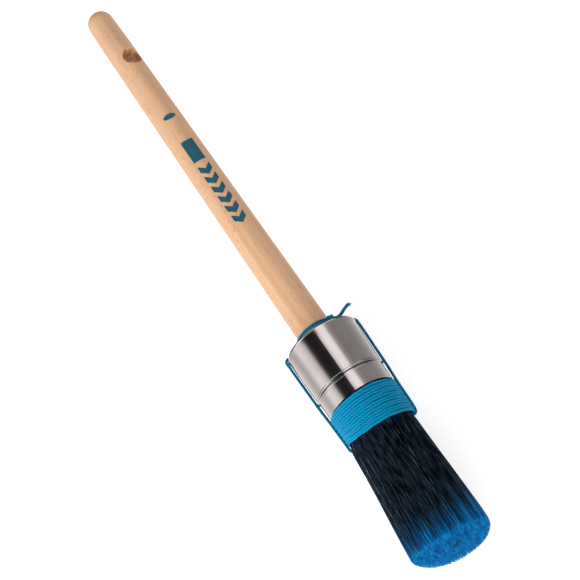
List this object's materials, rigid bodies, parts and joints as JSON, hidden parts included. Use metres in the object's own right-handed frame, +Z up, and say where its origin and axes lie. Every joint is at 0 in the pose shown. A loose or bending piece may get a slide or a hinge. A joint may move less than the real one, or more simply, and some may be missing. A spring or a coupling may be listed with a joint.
{
  "type": "round stencil brush",
  "caption": "Round paint brush with a slender turned wooden handle, a domed capsule ferrule, a cord bridle tied back to the neck and a flared, crowned tuft that bends at its root.",
  "frame": {"origin": "bottom centre of the bounding box: on the table, under the middle of the brush as it lies on its side", "axes": "+X along the brush from the end of the handle to the tip of the tuft, +Z up, with the two legs of the bridle at +Y and -Y"},
  "size_m": [0.307, 0.041, 0.0367],
  "materials": {
    "beech": "sanded, satin varnish",
    "nickel": "bright nickel plate",
    "resin": "cast epoxy",
    "plug_wood": "plain",
    "filament": "satin synthetic filament, dark with blue tips",
    "cord": "twisted synthetic cord"
  },
  "bodies": {
    "brush": {"handle": "beech", "ferrule": "nickel", "resin_set": "resin", "core_plug": "plug_wood", "filament_root": "filament", "bridle_winding": "cord", "bridle_leg_left": "cord", "bridle_leg_right": "cord", "neck_loop": "cord", "neck_knot": "cord", "cord_tail": "cord"},
    "tuft": {"tuft": "filament"}
  },
  "joints": [
    {"name": "tuft_flex", "type": "hinge", "parent": "brush", "child": "tuft", "pos_m": [0.10295, 0.0011, 0.01835], "axis": [0, 0, 1], "range_deg": [-18, 18], "stiffness_Nm_per_rad": 0.6}
  ]
}
